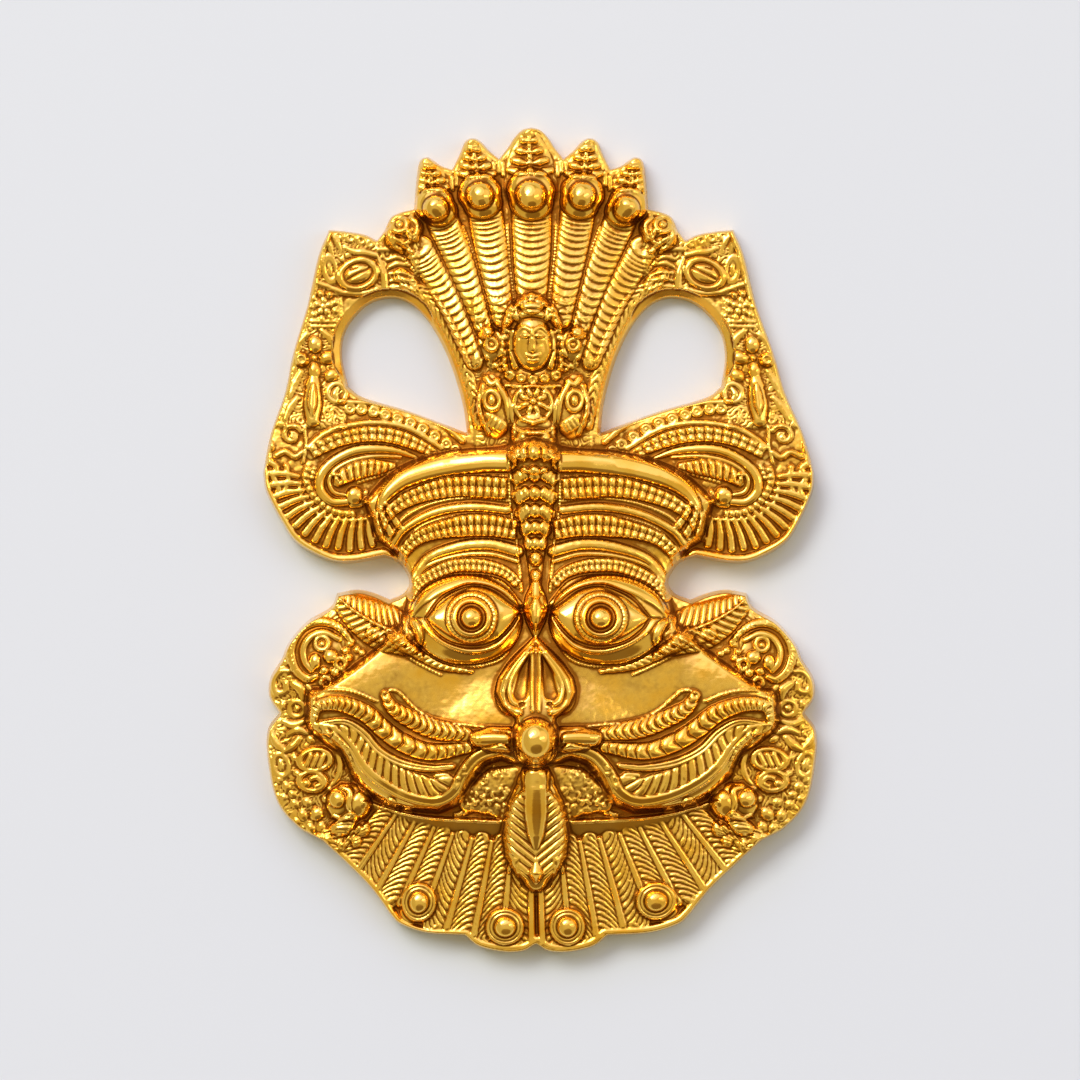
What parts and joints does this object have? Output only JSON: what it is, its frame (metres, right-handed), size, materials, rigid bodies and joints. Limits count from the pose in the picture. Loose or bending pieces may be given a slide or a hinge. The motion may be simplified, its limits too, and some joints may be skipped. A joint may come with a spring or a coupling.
{
  "type": "evil eye mask",
  "caption": "Flat-backed cast mask for a wall or door: a bulging-eyed face with shell-like ears, curled whiskers, tongue and fanned beard under a crest of serpents, open on both sides of the crest.",
  "frame": {"origin": "middle of the bounding box, on the plane of the flat back", "axes": "+Z out of the relief, +Y towards the crest, +X to the right of someone who looks at the face"},
  "size_m": [0.0682, 0.1016, 0.0139],
  "materials": {
    "gilt_brass": "polished, with brown patina in the recesses"
  },
  "bodies": {
    "root": {"mask": "gilt_brass"}
  },
  "joints": []
}
